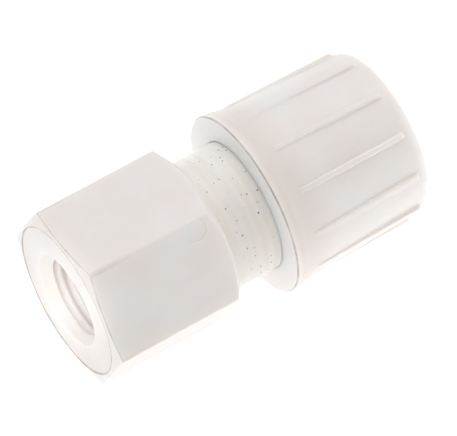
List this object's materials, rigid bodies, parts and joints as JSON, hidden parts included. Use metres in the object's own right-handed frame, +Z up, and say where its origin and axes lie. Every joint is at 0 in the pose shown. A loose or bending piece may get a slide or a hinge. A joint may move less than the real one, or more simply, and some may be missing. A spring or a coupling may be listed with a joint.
{
  "type": "push fit coupling",
  "caption": "Straight push fit adapter lying on its side: a hexagonal female-threaded body joined by a ribbed union nut to a push-in tube socket with a release collet.",
  "frame": {"origin": "middle of the fitting's length and width, on the surface that it lies on", "axes": "+X along the fitting's axis, from the female port to the tube socket; +Z up; the hexagon's flats face up and down"},
  "size_m": [0.0528, 0.0278, 0.0275],
  "materials": {
    "natural_polymer": "translucent milky white, satin as moulded",
    "collet_polymer": "opaque white, satin",
    "stainless_steel": "bright rolled strip",
    "seal_rubber": "matt black",
    "washer_silicone": "matt white"
  },
  "bodies": {
    "fitting": {"fitting_body": "natural_polymer", "port_seal_washer": "washer_silicone", "tube_o_ring": "seal_rubber", "seal_retainer": "collet_polymer"},
    "grip_carriage": {"grab_ring": "stainless_steel"},
    "nut": {"union_nut": "natural_polymer"},
    "collet": {"release_collet": "collet_polymer"}
  },
  "joints": [
    {"name": "nut_travel", "type": "slide", "parent": "fitting", "child": "grip_carriage", "axis": [1, 0, 0], "range_m": [0, 0.0105]},
    {"name": "nut_turn", "type": "hinge", "parent": "grip_carriage", "child": "nut", "pos_m": [0, 0, 0.01375], "axis": [1, 0, 0], "range_deg": [0, 2520]},
    {"name": "collet_release", "type": "slide", "parent": "grip_carriage", "child": "collet", "axis": [-1, 0, 0], "range_m": [0, 0.0015]}
  ],
  "couplings": [
    {"joint": "nut_turn", "follows": "nut_travel", "rad_per_m": 4188.7}
  ]
}
